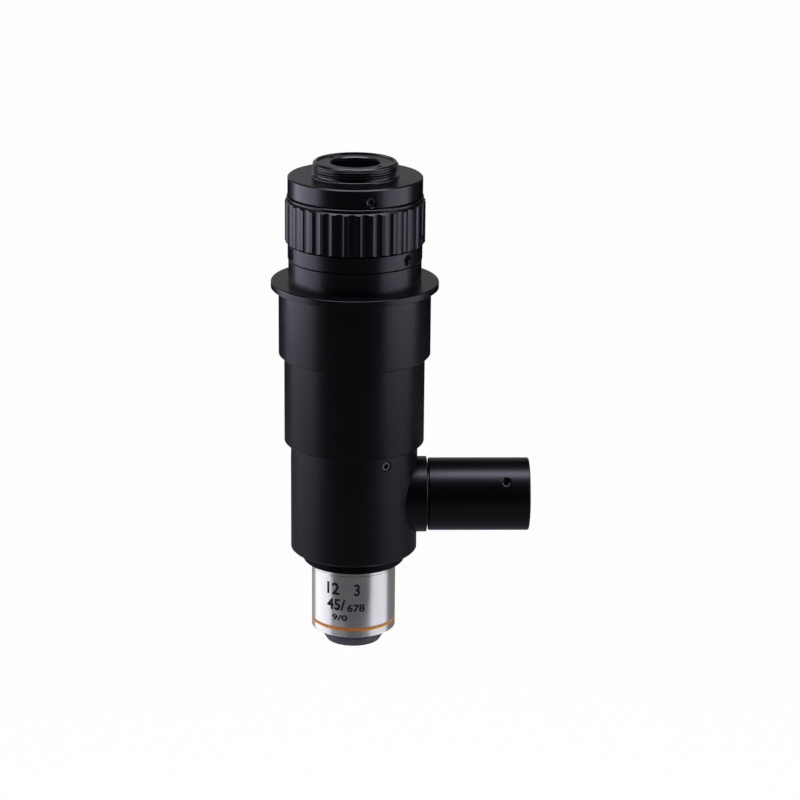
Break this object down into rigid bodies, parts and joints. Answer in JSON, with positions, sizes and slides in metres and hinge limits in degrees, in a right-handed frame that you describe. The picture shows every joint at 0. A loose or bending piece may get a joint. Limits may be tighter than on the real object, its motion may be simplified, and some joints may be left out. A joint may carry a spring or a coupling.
{
  "type": "tube lens",
  "caption": "Black camera tube with a tube lens: thread for a camera on top, fluted focus ring, mounting flange, light port at the side and a silver objective below.",
  "frame": {"origin": "on the optical axis, in the underside of the mounting flange, where the tube seats in its holder", "axes": "+Z along the optical axis towards the camera thread, +X along the light port"},
  "size_m": [0.0782, 0.05, 0.1502],
  "materials": {
    "black_anodised": "satin black anodised",
    "black_oxide_steel": "black oxide",
    "satin_chrome": "fine turned satin chrome",
    "nose_chrome": "polished dark chrome",
    "orange_enamel": "enamel filled groove",
    "coated_glass": "polished, coated",
    "splitter_glass": "polished, half reflecting"
  },
  "bodies": {
    "tube_body": {"base_collar": "black_anodised", "collar_set_screws": "black_oxide_steel", "guide_key": "black_oxide_steel", "neck_tube": "black_anodised", "main_barrel": "black_anodised", "mounting_sleeve": "black_anodised", "tube_lens_cell": "black_anodised", "tube_lens_crown": "coated_glass", "tube_lens_flint": "coated_glass", "tube_lens_retainer": "black_anodised", "splitter_housing": "black_anodised", "housing_set_screws": "black_oxide_steel", "splitter_mount": "black_anodised", "beam_splitter": "splitter_glass", "port_collar": "black_anodised", "light_tube": "black_anodised", "light_tube_screw": "black_oxide_steel", "condenser_lens": "coated_glass", "condenser_retainer": "black_anodised", "nosepiece_ring": "black_anodised", "objective_mount": "satin_chrome", "objective_barrel": "satin_chrome", "colour_band": "orange_enamel", "objective_nose": "nose_chrome", "front_lens": "coated_glass", "front_lens_retainer": "black_anodised", "rear_crown": "coated_glass", "rear_flint": "coated_glass", "rear_lens_retainer": "black_anodised"},
    "focus_ring": {"focus_ring": "black_anodised", "focus_ring_screw": "black_oxide_steel"},
    "camera_head": {"camera_thread_ring": "black_anodised", "camera_lens_retainer": "black_anodised", "camera_lens": "coated_glass", "head_cap": "black_anodised", "head_set_screws": "black_oxide_steel"}
  },
  "joints": [
    {"name": "focus_ring_turn", "type": "hinge", "parent": "tube_body", "child": "focus_ring", "pos_m": [0, 0, 0.0209], "axis": [0, 0, -1], "range_deg": [0, 288]},
    {"name": "camera_head_lift", "type": "slide", "parent": "tube_body", "child": "camera_head", "axis": [0, 0, 1], "range_m": [0, 0.002]}
  ],
  "couplings": [
    {"joint": "camera_head_lift", "follows": "focus_ring_turn", "m_per_rad": 0.00039788}
  ]
}
